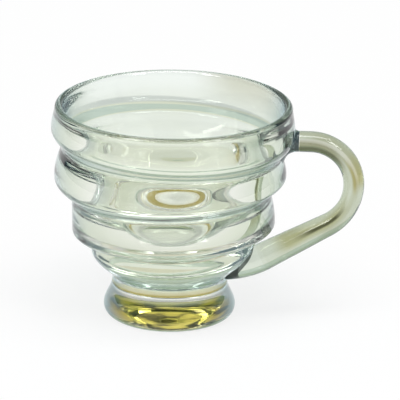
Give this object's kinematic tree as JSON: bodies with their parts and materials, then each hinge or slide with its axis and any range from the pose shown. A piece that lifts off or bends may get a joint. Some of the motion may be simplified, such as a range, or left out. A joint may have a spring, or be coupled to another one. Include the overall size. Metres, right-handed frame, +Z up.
{
  "type": "glass mug",
  "caption": "Small footed drinking mug of pale olive glass, its bowl shaped in stacked rounded rings that narrow downwards, smooth inside, with a bent glass rod handle.",
  "frame": {"origin": "centre of the overall box, handle included, on the surface the foot stands on", "axes": "+X towards the handle, +Z up out of the mouth, +Y to the left of the handle seen from above"},
  "size_m": [0.1154, 0.0896, 0.081],
  "materials": {
    "bowl": "clear, faint olive lustre",
    "foot": "clear, amber where thick",
    "handle": "clear, faint olive lustre",
    "upper_handle_pad": "clear, fused",
    "lower_handle_pad": "clear, fused"
  },
  "bodies": {
    "root": {"bowl": "bowl", "foot": "foot", "handle": "handle", "upper_handle_pad": "upper_handle_pad", "lower_handle_pad": "lower_handle_pad"}
  },
  "joints": []
}
